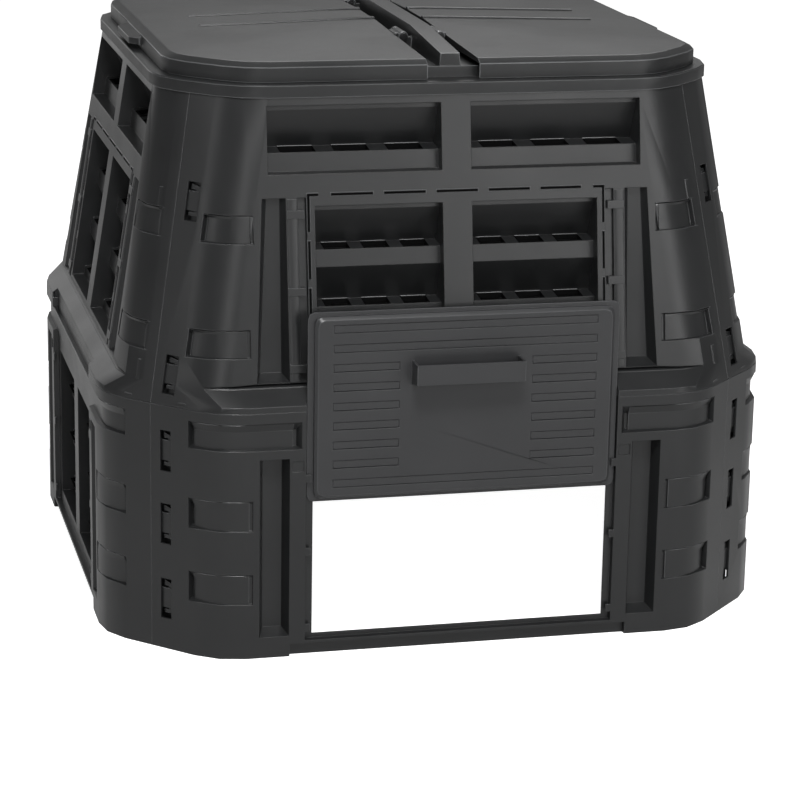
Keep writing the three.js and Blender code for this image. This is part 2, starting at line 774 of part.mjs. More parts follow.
// The hatch: a thin flange, a raised hollow panel, rows of shallow bars and a scoop handle.
// Its own frame has the flange's back at y = 0 and its foot at z = 0.
function hatchDoor() {
  const low = hatchPanelMargin;
  const high = hatchHeight - hatchPanelMargin;
  const front = -wall - hatchPanelProud;
  const edge = front + hatchBevel;
  const radius = hatchCornerRadius;
  const flange = loft([
    plateRing(hatchFlangeHalfWidth, 0, hatchHeight, radius, 0),
    plateRing(hatchFlangeHalfWidth, 0, hatchHeight, radius, -wall),
  ]);
  const raised = loft([
    plateRing(hatchPanelHalfWidth, low, high, radius, -wall / 2),
    plateRing(hatchPanelHalfWidth, low, high, radius, edge),
    plateRing(hatchPanelHalfWidth - hatchBevel, low + hatchBevel, high - hatchBevel, radius, front),
  ]);
  const inset = wall + hatchBevel;
  const hollow = loft([
    plateRing(hatchPanelHalfWidth - wall, low + wall, high - wall, radius, overrun),
    plateRing(hatchPanelHalfWidth - wall, low + wall, high - wall, radius, edge + wall),
    plateRing(hatchPanelHalfWidth - inset, low + inset, high - inset, radius, front + wall),
  ]);
  const handle = hatchHandle(front);
  const body = join([flange, raised]).subtract(hollow);
  return cutAll(body, barRecesses(front)).add(handle.shell).subtract(handle.hollow);
}

// Each bar is a shallow wedge, deepest at its foot
function barRecesses(front) {
  const wedge = (from, to, high) => {
    const ring = (x) => [
      at(x, front - overrun, high), at(x, front + fade, high),
      at(x, front + barDepth, high - barHeight + fade), at(x, front - overrun, high - barHeight),
    ];
    return loft([ring(from), ring(to)]);
  };
  const bars = [];
  for (let row = 0; row < barRows; row++) {
    const high = hatchHeight - barTopInset - row * barPitch;
    const isLong = row < 2 || row === barRows - 1;
    const barHalfLength = hatchPanelHalfWidth - barEndMargin;
    const stretches = [[-barHalfLength, -barBlankHalfWidth], [barBlankHalfWidth, barHalfLength]];
    if (isLong) bars.push(wedge(-barHalfLength, barHalfLength, high));
    else bars.push(...stretches.map(([from, to]) => wedge(from, to, high)));
  }
  return bars;
}

// The handle: a scoop that stands out from the panel and is open at its top
function hatchHandle(front) {
  const low = handleHigh - handleHeight;
  const face = front - handleProud;
  const back = front + wall / 2;
  const ring = (x, inset, top) => [
    at(x, back, low - handleUnderslope + inset), at(x, face + inset, low + inset),
    at(x, face + inset, top), at(x, back, top),
  ];
  const half = handleHalfWidth;
  const shell = loft([ring(-half, 0, handleHigh), ring(half, 0, handleHigh)]);
  const hollowRing = (x) => [
    at(x, front, low - handleUnderslope + wall), at(x, face + wall, low + wall),
    at(x, face + wall, handleHigh + overrun), at(x, front, handleHigh + overrun),
  ];
  const hollow = loft([hollowRing(wall - half), hollowRing(half - wall)]);
  return { shell, hollow };
}

// A ring round the whole bin at a height: the upper tier's outline there, or at its rim, grown or scaled
function outlineRing({ z, grow = 0, share = 1, from = rimZ }) {
  const quarter = cornerPlaces.map((place) => pointAt(place, { tier: upperTier, z: from, depth: -grow }));
  const ring = [0, 1, 2, 3].flatMap((turns) => (
    quarter.map((point) => point.clone().applyAxisAngle(at(0, 0, 1), 2 * eighth * turns))));
  return ring.map(({ x, y }) => at(x * share, y * share, z));
}

const outlineStack = (levels) => loft(levels.map(outlineRing));

function cylinderAlongY(radius, length, x, y, z) {
  const geometry = new THREE.CylinderGeometry(radius, radius, length, roundSides);
  return fromGeometry(geometry.translate(x, y, z));
}

// The lid frame: a plate round the rim with a skirt outside and a curb inside, and a ridge across it
function lidFrame() {
  const rim = upperTier.halfWidth(rimZ);
  const skirtLow = rimZ - lidSkirt;
  const skirtOut = gap + wall + taperShare * lidSkirt;
  const curbHalf = rim - curbInset;
  const below = skirtLow - overrun;
  const plate = outlineStack([
    { z: skirtLow, grow: skirtOut }, { z: plateTop - draft, grow: skirtOut },
    { z: plateTop, grow: skirtOut - draft },
  ]);
  const seat = outlineStack([{ z: below, from: below, grow: gap }, { z: plateZ, from: plateZ, grow: gap }]);
  const curb = outlineStack([{ z: plateZ, grow: wall - curbInset }, { z: curbTop, grow: wall - curbInset }]);
  const mouth = outlineStack([{ z: below, grow: -curbInset }, { z: curbTop + overrun, grow: -curbInset }]);
  const end = curbHalf + wall / 2;
  const bridgeTop = plateTop + bridgeHeight;
  const bridge = block(at(-bridgeHalfWidth, -end, plateZ), at(bridgeHalfWidth, end, bridgeTop));
  const bridgeInside = block(
    at(wall - bridgeHalfWidth, -curbHalf, plateZ - overrun),
    at(bridgeHalfWidth - wall, curbHalf, bridgeTop - wall),
  );
  const ridge = lidRidge(end, bridgeTop - wall / 2);
  const hinges = [-1, 1].flatMap((side) => [-1, 1].map((fore) => ({ side, fore })));
  const lugs = hinges.flatMap(({ side, fore }) => hingeLugs(side, fore, bridgeTop - wall / 2));
  const holeLength = knuckleLength + 4 * lugLength;
  const holes = hinges.map(({ side, fore }) => (
    cylinderAlongY(pinRadius + pinPlay, holeLength, side * hingeX, fore * hingeFromMiddle, hingeZ)));
  const ring = plate.subtract(seat).add(curb).subtract(mouth);
  const beam = bridge.subtract(bridgeInside);
  return cutAll(join([ring, beam, ridge, ...lugs]), holes);
}

// The ridge between the flaps, which falls towards its ends as the flaps do
function lidRidge(end, low) {
  const crown = end / 2;
  const ring = (y, high) => [
    at(-ridgeHalfWidth, y, low), at(ridgeHalfWidth, y, low),
    at(ridgeHalfWidth - 2 * draft, y, high), at(2 * draft - ridgeHalfWidth, y, high),
  ];
  const endHigh = hingeZ + knuckleRadius - flapEdge;
  return loft([ring(-end, endHigh), ring(-crown, ridgeTop), ring(crown, ridgeTop), ring(end, endHigh)]);
}

function hingeLugs(side, fore, low) {
  return [-1, 1].map((edge) => {
    const middle = fore * hingeFromMiddle + edge * (knuckleLength / 2 + gap + lugLength / 2);
    const inner = side * (ridgeHalfWidth - wall);
    const web = block(
      at(Math.min(inner, side * hingeX), middle - lugLength / 2, low),
      at(Math.max(inner, side * hingeX), middle + lugLength / 2, hingeZ),
    );
    return web.add(cylinderAlongY(knuckleRadius, lugLength, side * hingeX, middle, hingeZ));
  });
}

// One flap: a shallow domed shell with a turned-down rim, a grip, two ribs and its hinge knuckles
function lidFlap(side) {
  const rim = upperTier.halfWidth(rimZ) - flapInset;
  const levels = (inset) => [
    { z: flapLow - 2 * inset, grow: -flapInset - inset },
    { z: flapShoulder - inset / 2, grow: -flapInset - inset },
    { z: flapTop - inset, grow: -flapInset - inset - 2 * flapEdge },
    { z: flapTop + flapCrown - inset, share: flapCrownShare },
  ];
  const start = hingeX + flapFromHinge;
  const far = rim + overrun;
  const span = (from) => block(
    at(Math.min(side * from, side * far), -far, flapLow - 2 * overrun),
    at(Math.max(side * from, side * far), far, ridgeTop),
  );
  const ribs = flapRibs(side, rim, start);
  const outer = join([outlineStack(levels(0)), ...ribs]).intersect(span(start));
  const inner = outlineStack(levels(wall)).intersect(span(start + wall));
  const inside = rim - wall;
  const overCurb = block(
    at(Math.min(side * (start - wall), side * (start + 2 * wall)), -inside, flapLow - overrun),
    at(Math.max(side * (start - wall), side * (start + 2 * wall)), inside, curbTop + flapWebClear),
  );
  const knuckles = [-1, 1].map((fore) => flapKnuckle(side, fore, start));
  const holeLength = knuckleLength + lugLength;
  const holes = [-1, 1].map((fore) => (
    cylinderAlongY(pinRadius + pinPlay, holeLength, side * hingeX, fore * hingeFromMiddle, hingeZ)));
  const grip = flapGrip(side, rim);
  return cutAll(join([outer.subtract(inner), grip, ...knuckles]), [overCurb, ...holes]);
}

// Two ribs that run down the flap from the hinge side
function flapRibs(side, rim, start) {
  const crownX = rim * flapCrownShare;
  const edgeX = rim - 2 * flapEdge;
  const fall = (x) => THREE.MathUtils.mapLinear(x, crownX, edgeX, flapTop + flapCrown, flapTop);
  const from = start - overrun;
  const to = edgeX * ribReachShare;
  return [-1, 1].map((fore) => {
    const y = fore * crownX * ribSpreadShare;
    const ring = (x, high) => [
      at(side * x, y - ribWidth / 2, flapTop - flapEdge), at(side * x, y + ribWidth / 2, flapTop - flapEdge),
      at(side * x, y + ribWidth / 2 - draft, high), at(side * x, y - ribWidth / 2 + draft, high),
    ];
    const crown = Math.max(from, crownX);
    return loft([
      ring(from, fall(crown) + ribProud), ring(crown, fall(crown) + ribProud),
      ring(to - ribProud, fall(to) + ribProud), ring(to, fall(to) - fade),
    ]);
  });
}

// A knuckle round the pin and the arm that ties it to the flap
function flapKnuckle(side, fore, start) {
  const y = fore * hingeFromMiddle;
  const armHigh = hingeZ + knuckleRadius - wall;
  const armLow = hingeZ - knuckleRadius + wall;
  const arm = block(
    at(Math.min(side * hingeX, side * (start + wall / 2)), y - knuckleLength / 2, armLow),
    at(Math.max(side * hingeX, side * (start + wall / 2)), y + knuckleLength / 2, armHigh),
  );
  return arm.add(cylinderAlongY(knuckleRadius, knuckleLength, side * hingeX, y, hingeZ));
}

// A finger grip on the flap's outer rim, hollow underneath
function flapGrip(side, rim) {
  const high = flapShoulder - draft;
  const root = side * (rim - wall / 2);
  const ring = (y, out, inset) => [
    at(root, y, high - gripHeight - inset), at(side * (rim + out), y, high - gripHeight - inset),
    at(side * (rim + out), y, high - wall - inset), at(root, y, high - inset),
  ];
  const half = gripHalfWidth;
  const shell = loft([
    ring(-half, wall, 0), ring(gripProud - half, gripProud, 0),
    ring(half - gripProud, gripProud, 0), ring(half, wall, 0),
  ]);
  const hollow = loft([
    ring(wall - half, 0, wall), ring(gripProud - half + wall, gripProud - wall, wall),
    ring(half - gripProud - wall, gripProud - wall, wall), ring(half - wall, 0, wall),
  ]);
  const keep = block(
    at(Math.min(side * (rim - wall), side * rim), -half, flapLow),
    at(Math.max(side * (rim - wall), side * rim), half, high),
  );
  return shell.subtract(hollow).add(keep);
}

// A hinge pin: a shaft with a flat head at its outer end
function hingePin(fore) {
  const inside = knuckleLength + 2 * (lugLength + gap);
  const headY = fore * (inside / 2 + gap + pinHeadLength / 2);
  const shaft = cylinderAlongY(pinRadius, inside + 2 * gap + pinHeadLength, 0, 0, 0);
  return shaft.add(cylinderAlongY(pinHead, pinHeadLength, 0, headY, 0));
}

function panelRing(names, solids, material) {
  const ring = new THREE.Group();
  names.forEach((name, quarter) => {
    const mesh = toMesh(solids[quarter], name, material);
    mesh.rotation.z = 2 * eighth * quarter;
    ring.add(mesh);
  });
  return ring;
}

function assemble() {
  const bin = new THREE.Group();
  bin.position.y = handleReach / 2;
  const plain = lowerPanel(false);
  const upper = upperPanel();
  const sides = ['front', 'right', 'back', 'left'];
  const lowerNames = sides.map((side) => `lower_panel_${side}`);
  const upperNames = sides.map((side) => `upper_panel_${side}`);
  bin.add(panelRing(lowerNames, [lowerPanel(true), plain, plain, plain], plastic));
  bin.add(panelRing(upperNames, [upper, upper, upper, upper], plastic));

  const hatch = toMesh(hatchDoor(), 'hatch_door', hatchPlastic);
  hatch.position.set(0, seatDepth - halfBin - hatchPlay, seatLow + draft + hatchRise);
  bin.add(hatch);

  bin.add(toMesh(lidFrame(), 'lid_frame', plastic));
  bin.add(toMesh(lidFlap(-1), 'lid_flap_left', plastic));
  bin.add(toMesh(lidFlap(1), 'lid_flap_right', plastic));
  for (const [sideName, side] of [['left', -1], ['right', 1]]) {
    for (const [foreName, fore] of [['front', -1], ['back', 1]]) {
      const mesh = toMesh(hingePin(fore), `hinge_pin_${sideName}_${foreName}`, pinPlastic);
      mesh.position.set(side * hingeX, fore * hingeFromMiddle, hingeZ);
      bin.add(mesh);
    }
  }
  return bin;
}

export default assemble();
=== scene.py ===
import json
import math

import bmesh
import bpy
from mathutils import Matrix, Vector


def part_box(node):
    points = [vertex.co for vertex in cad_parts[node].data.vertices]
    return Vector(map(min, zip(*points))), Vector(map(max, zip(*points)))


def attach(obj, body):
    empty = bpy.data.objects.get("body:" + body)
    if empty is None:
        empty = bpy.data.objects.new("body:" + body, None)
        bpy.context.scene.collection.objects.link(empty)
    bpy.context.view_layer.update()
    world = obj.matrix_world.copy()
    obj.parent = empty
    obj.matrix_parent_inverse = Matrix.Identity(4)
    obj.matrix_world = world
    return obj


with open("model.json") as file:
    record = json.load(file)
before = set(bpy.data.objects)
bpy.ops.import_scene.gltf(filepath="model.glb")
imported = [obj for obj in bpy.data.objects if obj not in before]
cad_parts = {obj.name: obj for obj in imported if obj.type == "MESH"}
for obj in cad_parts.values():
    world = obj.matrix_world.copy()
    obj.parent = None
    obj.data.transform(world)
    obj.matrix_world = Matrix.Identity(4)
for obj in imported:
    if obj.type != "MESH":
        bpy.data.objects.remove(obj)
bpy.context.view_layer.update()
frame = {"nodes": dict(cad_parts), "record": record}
print("frame loaded")

mm = 0.001
white = (1, 1, 1, 1)

# The photo's viewpoint, in the part's own frame
photoCamera = {
    "place": (-927.12 * mm, -3914.32 * mm, 1356.28 * mm),
    "yaw": math.radians(13.61),
    "pitch": math.radians(-15.78),
    "roll": math.radians(1.03),
    "lens": 126.83,
}


def makeCamera(look):
    yaw, pitch, roll = look["yaw"], look["pitch"], look["roll"]
    forward = Vector((
        math.sin(yaw) * math.cos(pitch), math.cos(yaw) * math.cos(pitch), math.sin(pitch)))
    level = Vector((math.cos(yaw), -math.sin(yaw), 0))
    upright = level.cross(forward)
    right = level * math.cos(roll) + upright * math.sin(roll)
    up = right.cross(forward)
    data = bpy.data.cameras.new("photoCamera")
    data.lens = look["lens"]
    camera = bpy.data.objects.new("photoCamera", data)
    bpy.context.scene.collection.objects.link(camera)
    turn = Matrix((right, up, -forward)).transposed().to_4x4()
    camera.matrix_world = Matrix.Translation(look["place"]) @ turn
    bpy.context.scene.camera = camera


makeCamera(photoCamera)
print("camera set")


def newTree(owner):
    owner.use_nodes = True
    tree = owner.node_tree
    tree.nodes.clear()
    return tree


def addNode(tree, kind, inputs=None, **settings):
    node = tree.nodes.new(kind)
    for name, value in settings.items():
        setattr(node, name, value)
    for name, value in (inputs or {}).items():
        if isinstance(value, bpy.types.NodeSocket):
            tree.links.new(value, node.inputs[name])
        else:
            node.inputs[name].default_value = value
    return node


def calculate(tree, operation, *values):
    inputs = dict(enumerate(values))
    return addNode(tree, "ShaderNodeMath", inputs, operation=operation).outputs[0]


def mapRange(tree, value, source, target=(0.0, 1.0)):
    return addNode(tree, "ShaderNodeMapRange", {
        "Value": value, "From Min": source[0], "From Max": source[1],
        "To Min": target[0], "To Max": target[1]}).outputs[0]


# Studio: a white floor and surround, and soft lamps
studio = {
    "surround": 0.07,  # the light that the surround gives
    "seenWhite": 1.0,  # and how bright it looks
    "glossShare": 0.12,  # how much of the white a gloss picks up
    "floorColour": (0.6, 0.6, 0.6, 1),
    "floorRoughness": 0.9,
    "floorGlow": 0.98,
    "floorSize": 14,
    "aim": (0, 0, 0.4),
    "lamps": {
        "topLamp": {"place": (-0.5, -2.5, 3.7), "size": (1.4, 1.0), "power": 140},
        "frontLamp": {"place": (1.25, -3.5, 1.15), "size": (1.6, 0.9), "power": 16},
        "cornerStrip": {"place": (-0.95, -3.8, 1.5), "size": (0.22, 2.2), "power": 13},
        "leftStrip": {"place": (-3.2, -1.4, 1.6), "size": (0.5, 2.2), "power": 8},
        "backStrip": {"place": (-1.3, 3.4, 1.2), "size": (1.2, 1.8), "power": 5},
        "rightStrip": {"place": (2.2, -2.8, 1.3), "size": (0.5, 2.2), "power": 17},
        "rimLamp": {"place": (1.0, 3.2, 3.4), "size": (2.4, 2.0), "power": 36},
    },
}


# 1 to the eye and through clear things, less to a gloss and 0 for the light that falls on the bin
def seenByEye(tree, glossShare):
    path = addNode(tree, "ShaderNodeLightPath").outputs
    dulled = calculate(tree, "MULTIPLY", path["Is Glossy Ray"], glossShare)
    direct = calculate(tree, "MAXIMUM", path["Is Camera Ray"], dulled)
    return calculate(tree, "MAXIMUM", direct, path["Is Transmission Ray"])


def makeSurround(look):
    world = bpy.data.worlds.new("surround")
    bpy.context.scene.world = world
    tree = newTree(world)
    lit = addNode(tree, "ShaderNodeBackground", {"Color": white, "Strength": look["surround"]})
    seen = addNode(tree, "ShaderNodeBackground", {"Color": white, "Strength": look["seenWhite"]})
    mixed = addNode(tree, "ShaderNodeMixShader", {
        0: seenByEye(tree, look["glossShare"]), 1: lit.outputs[0], 2: seen.outputs[0]})
    addNode(tree, "ShaderNodeOutputWorld", {"Surface": mixed.outputs[0]})


def makeFloor(look):
    material = bpy.data.materials.new("paperFloor")
    tree = newTree(material)
    glow = calculate(tree, "MULTIPLY", seenByEye(tree, look["glossShare"]), look["floorGlow"])
    paper = addNode(tree, "ShaderNodeBsdfPrincipled", {
        "Base Color": look["floorColour"], "Roughness": look["floorRoughness"],
        "Specular IOR Level": 0, "Emission Color": white, "Emission Strength": glow})
    addNode(tree, "ShaderNodeOutputMaterial", {"Surface": paper.outputs[0]})
    half = look["floorSize"] / 2
    corners = [(-half, -half, 0), (half, -half, 0), (half, half, 0), (-half, half, 0)]
    mesh = bpy.data.meshes.new("floor")
    mesh.from_pydata(corners, [], [(0, 1, 2, 3)])
    mesh.materials.append(material)
    floor = bpy.data.objects.new("floor", mesh)
    bpy.context.scene.collection.objects.link(floor)


def makeLamp(name, lamp, aim):
    data = bpy.data.lights.new(name, "AREA")
    data.shape = "RECTANGLE"
    data.size, data.size_y = lamp["size"]
    data.energy = lamp["power"]
    light = bpy.data.objects.new(name, data)
    bpy.context.scene.collection.objects.link(light)
    light.location = lamp["place"]
    sight = Vector(aim) - Vector(lamp["place"])
    light.rotation_euler = sight.to_track_quat("-Z", "Y").to_euler()


makeSurround(studio)
makeFloor(studio)
for lampName, lampLook in studio["lamps"].items():
    makeLamp(lampName, lampLook, studio["aim"])
bpy.context.scene.view_settings.view_transform = "Standard"
print("studio lit")

# What every plastic shares: a fine moulded grain, slow mottling and paler edges, which are partly
# rubbed wear and partly a painted highlight.
# The two colours and amounts are what a plastic has without values of its own.
moulded = {
    "colour": (0.04, 0.04, 0.04, 1), "edge": (0.1, 0.1, 0.1, 1), "edgeAmount": 0.5,
    "grainSize": 900.0, "grainDetail": 2.0, "bump": 0.6,
    "mottleSize": 9.0, "mottleDetail": 5.0, "mottleRange": (0.3, 0.7), "mottleAmount": 0.1,
    "convex": (0.5, 0.56),  # pointiness, from a flat face to an edge
    "bent": (0.97, 0.85),  # the rounded normal along the face's own, from a flat face to an edge
    "bevelSamples": 4,
    "wearAndHighlightSpots": (0.8, 0.5),  # the mottle's share of the edge wear and painted highlight, and their level without it
    "mottleRoughness": 0.04, "edgeRoughness": -0.1,
}


def makeGrainGroup(look):
    group = bpy.data.node_groups.new("mouldedGrain", "ShaderNodeTree")
    for name, kind, value in (
            ("Grain Size", "Float", look["grainSize"]),
            ("Mottle Size", "Float", look["mottleSize"]),
            ("Mottle Amount", "Float", look["mottleAmount"]),
            ("Edge Amount", "Float", look["edgeAmount"]),
            ("Colour", "Color", look["colour"]),
            ("Edge Colour", "Color", look["edge"])):
        socket = group.interface.new_socket(name, in_out="INPUT", socket_type="NodeSocket" + kind)
        socket.default_value = value
    group.interface.new_socket("Rounded Normal", in_out="INPUT", socket_type="NodeSocketVector")
    for name, kind in (("Colour", "Color"), ("Roughness Shift", "Float"), ("Height", "Float")):
        group.interface.new_socket(name, in_out="OUTPUT", socket_type="NodeSocket" + kind)
    given = group.nodes.new("NodeGroupInput").outputs

    spot = addNode(group, "ShaderNodeTexCoord").outputs["Object"]
    grain, mottle = (
        addNode(group, "ShaderNodeTexNoise", {
            "Vector": spot, "Scale": given[size], "Detail": look[detail]}).outputs["Fac"]
        for size, detail in (("Grain Size", "grainDetail"), ("Mottle Size", "mottleDetail")))
    swing = mapRange(group, mottle, look["mottleRange"], (-1.0, 1.0))
    level = calculate(group, "MULTIPLY_ADD", swing, given["Mottle Amount"], 1.0)
    shade = addNode(group, "ShaderNodeVectorMath", {0: given["Colour"], "Scale": level},
                    operation="SCALE").outputs[0]

    # An edge is where the surface is convex and is a bevel's face or bends away from its own face
    here = addNode(group, "ShaderNodeNewGeometry").outputs
    convex = mapRange(group, here["Pointiness"], look["convex"])
    rim = addNode(group, "ShaderNodeAttribute", attribute_name="rim").outputs["Fac"]
    along = addNode(group, "ShaderNodeVectorMath", {
        0: given["Rounded Normal"], 1: here["True Normal"]}, operation="DOT_PRODUCT").outputs["Value"]
    bent = mapRange(group, along, look["bent"])
    edge = calculate(group, "MULTIPLY", convex, calculate(group, "MAXIMUM", rim, bent))
    # The paler edge colour is rubbed wear spotted by the mottle, and a painted highlight along convex
    # edges
    spots = calculate(group, "MULTIPLY_ADD", mottle, *look["wearAndHighlightSpots"])
    spotty = calculate(group, "MULTIPLY", edge, spots)
    wearAndHighlight = calculate(group, "MULTIPLY", spotty, given["Edge Amount"])
    colour = addNode(group, "ShaderNodeMix", {0: wearAndHighlight, 6: shade, 7: given["Edge Colour"]},
                     data_type="RGBA").outputs[2]
    cloudy = calculate(group, "MULTIPLY", swing, look["mottleRoughness"])
    shift = calculate(group, "MULTIPLY_ADD", edge, look["edgeRoughness"], cloudy)
    addNode(group, "NodeGroupOutput", {"Colour": colour, "Roughness Shift": shift, "Height": grain})
    return group


grainGroup = makeGrainGroup(moulded)

# Each finish's edge colour is paler than its body: rubbed wear and a painted highlight on convex
# edges
finishes = {
    "wall_plastic": {
        "colour": (0.014, 0.0145, 0.015, 1), "edge": (0.16, 0.163, 0.167, 1), "edgeAmount": 0.7,
        "roughness": 0.33, "gloss": 0.5, "grain": 0.12 * mm, "mottle": 0.1,
        "rounding": 1.5 * mm},  # in the shader, since a bevel would break the walls' thin faces
    "hatch_plastic": {
        "colour": (0.028, 0.0285, 0.03, 1), "edge": (0.1, 0.103, 0.107, 1), "edgeAmount": 0.6,
        "roughness": 0.38, "gloss": 0.5, "grain": 0.1 * mm, "mottle": 0.08},
    "lid_plastic": {
        "colour": (0.014, 0.0145, 0.015, 1), "edge": (0.2, 0.205, 0.21, 1), "edgeAmount": 0.6,
        "roughness": 0.36, "gloss": 0.5, "grain": 0.14 * mm, "mottle": 0.12},
    "pin_plastic": {
        "colour": (0.01, 0.01, 0.0105, 1), "edge": (0.05, 0.05, 0.054, 1), "edgeAmount": 0.4,
        "roughness": 0.45, "gloss": 0.3, "grain": 0.08 * mm, "mottle": 0.05},
    # near-black painted shade for the insides of holes and the score slots
    "hole_shade": {
        "colour": (0.002, 0.002, 0.0021, 1), "edge": (0.004, 0.004, 0.004, 1), "edgeAmount": 0.0,
        "roughness": 0.8, "gloss": 0.05, "grain": 0.08 * mm, "mottle": 0.05, "slot": "pin_plastic"},
    # a pale painted highlight for the lips at the backs of the holes
    "painted_highlight_lip": {
        "colour": (0.16, 0.163, 0.167, 1), "edge": (0.3, 0.3, 0.3, 1), "edgeAmount": 0.6,
        "roughness": 0.3, "gloss": 0.5, "grain": 0.08 * mm, "mottle": 0.2, "slot": "wall_plastic"},
}


def makePlastic(name, finish):
    material = bpy.data.materials.new(name)
    tree = newTree(material)
    rounded = addNode(tree, "ShaderNodeBevel", {"Radius": finish.get("rounding", 0)},
                      samples=moulded["bevelSamples"]).outputs["Normal"]
    grain = addNode(tree, "ShaderNodeGroup", node_tree=grainGroup)
    for socket, key in (("Colour", "colour"), ("Edge Colour", "edge"),
                        ("Mottle Amount", "mottle"), ("Edge Amount", "edgeAmount")):
        grain.inputs[socket].default_value = finish[key]
    tree.links.new(rounded, grain.inputs["Rounded Normal"])
    rough = calculate(tree, "ADD", grain.outputs["Roughness Shift"], finish["roughness"])
    bump = addNode(tree, "ShaderNodeBump", {
        "Height": grain.outputs["Height"], "Distance": finish["grain"],
        "Strength": moulded["bump"], "Normal": rounded})
    plastic = addNode(tree, "ShaderNodeBsdfPrincipled", {
        "Base Color": grain.outputs["Colour"], "Roughness": rough,
        "Specular IOR Level": finish["gloss"], "Normal": bump.outputs["Normal"]})
    addNode(tree, "ShaderNodeOutputMaterial", {"Surface": plastic.outputs[0]})
    return material


plastics = {finishName: makePlastic(finishName, finish) for finishName, finish in finishes.items()}
print("finishes ready")

# Rounded edges and smooth shading. A moulding without a round has its flat faces joined instead.
edges = {
    "weld": 0.05 * mm, "segments": 2, "flat": math.radians(1), "normalWeight": 100,
    "round": {
        "wall_plastic": 0, "lid_plastic": 1.1 * mm, "hatch_plastic": 0.8 * mm,
        "pin_plastic": 0.5 * mm},
    "sharp": {
        "wall_plastic": math.radians(24), "lid_plastic": math.radians(24),
        "hatch_plastic": math.radians(35), "pin_plastic": math.radians(35)},
}


# Keeps the faces of the bevel as the attribute rim, and smooths all but the sharp edges
def makeSmoothGroup():
    group = bpy.data.node_groups.new("smoothByAngle", "GeometryNodeTree")
    group.interface.new_socket("Mesh", in_out="INPUT", socket_type="NodeSocketGeometry")
    limit = group.interface.new_socket("Sharp Angle", in_out="INPUT", socket_type="NodeSocketFloat")
    limit.default_value = edges["sharp"]["wall_plastic"]
    group.interface.new_socket("Mesh", in_out="OUTPUT", socket_type="NodeSocketGeometry")
    given = group.nodes.new("NodeGroupInput").outputs
    index = addNode(group, "GeometryNodeInputMaterialIndex").outputs[0]
    marked = addNode(group, "GeometryNodeStoreNamedAttribute", {
        "Geometry": given["Mesh"], "Name": "rim", "Value": index}, data_type="FLOAT", domain="FACE")
    single = addNode(group, "GeometryNodeSetMaterialIndex", {
        "Geometry": marked.outputs[0], "Material Index": 0})
    faces = addNode(group, "GeometryNodeSetShadeSmooth", {
        "Geometry": single.outputs[0], "Shade Smooth": True})
    angle = addNode(group, "GeometryNodeInputMeshEdgeAngle").outputs["Unsigned Angle"]
    soft = addNode(group, "FunctionNodeCompare", {0: angle, 1: given["Sharp Angle"]},
                   operation="LESS_THAN")
    edged = addNode(group, "GeometryNodeSetShadeSmooth", {
        "Geometry": faces.outputs[0], "Shade Smooth": soft.outputs[0]}, domain="EDGE")
    addNode(group, "NodeGroupOutput", {"Mesh": edged.outputs[0]})
    return group


smoothGroup = makeSmoothGroup()
sharpAngleSocket = next(
    item.identifier for item in smoothGroup.interface.items_tree if item.name == "Sharp Angle")


# The plastic goes on twice, so that the bevel can mark its own faces with the second one
def dress(piece, plastic, width, sharp):
    for _ in range(2):
        piece.data.materials.append(plastics[plastic])
    weld = piece.modifiers.new("weld", "WELD")
    weld.merge_threshold = edges["weld"]
    if width:
        bevel = piece.modifiers.new("bevel", "BEVEL")
        bevel.width = width
        bevel.segments = edges["segments"]
        bevel.limit_method = "ANGLE"
        bevel.angle_limit = sharp
        bevel.use_clamp_overlap = False
        bevel.material = 1
    else:
        flatten = piece.modifiers.new("flatten", "DECIMATE")
        flatten.decimate_type = "DISSOLVE"
        flatten.angle_limit = edges["flat"]
    smooth = piece.modifiers.new("smooth", "NODES")
    smooth.node_group = smoothGroup
    smooth[sharpAngleSocket] = sharp
    even = piece.modifiers.new("evenNormals", "WEIGHTED_NORMAL")
    even.mode = "FACE_AREA"
    even.weight = edges["normalWeight"]
    even.keep_sharp = True


slotOf = {part["node"]: part["material_slot"] for part in frame["record"]["subparts"]}
for nodeName, node in frame["nodes"].items():
    slotName = slotOf[nodeName]
    node.data.materials.clear()
    dress(node, slotName, edges["round"][slotName], edges["sharp"][slotName])
print("mouldings finished")

# The bin's outline in millimetres, as the panels follow it. Each tier leans in by its taper.
outline = {
    "half": 466.5, "radius": 93, "cornerSteps": 5, "seamShift": 12.8, "foreShift": 16.7,
    "jointHeight": 338.8,
    "lower": {"setback": 0, "taper": 0, "cut": 136.3},
    "upper": {"setback": 21.2, "taper": 0.16, "cut": 94.5},
}
chamferTurn = math.pi / 4
cornerTangent = outline["radius"] * math.tan(chamferTurn / 2)
sides = {"front": 0, "right": 1, "back": 2, "left": 3}


# Places along a panel: on its face, on the bend of a corner, or on the chamfer beyond the bend
def onFace(x):
    return {"x": x}


def onCorner(side, turn):
    return {"side": side, "turn": turn}


def onChamfer(side, fromSeam):
    return {"side": side, "turn": chamferTurn, "fromSeam": fromSeam}


def runPast(place, tier):
    if "fromSeam" not in place:
        return 0
    toSeam = tier["cut"] / math.sqrt(2) - cornerTangent - place["side"] * outline["seamShift"]
    return toSeam - place["fromSeam"]


def flatHalf(tier, z):
    half = outline["half"] - tier["setback"] - tier["taper"] * (z - outline["jointHeight"])
    return half, half - tier["cut"] - cornerTangent


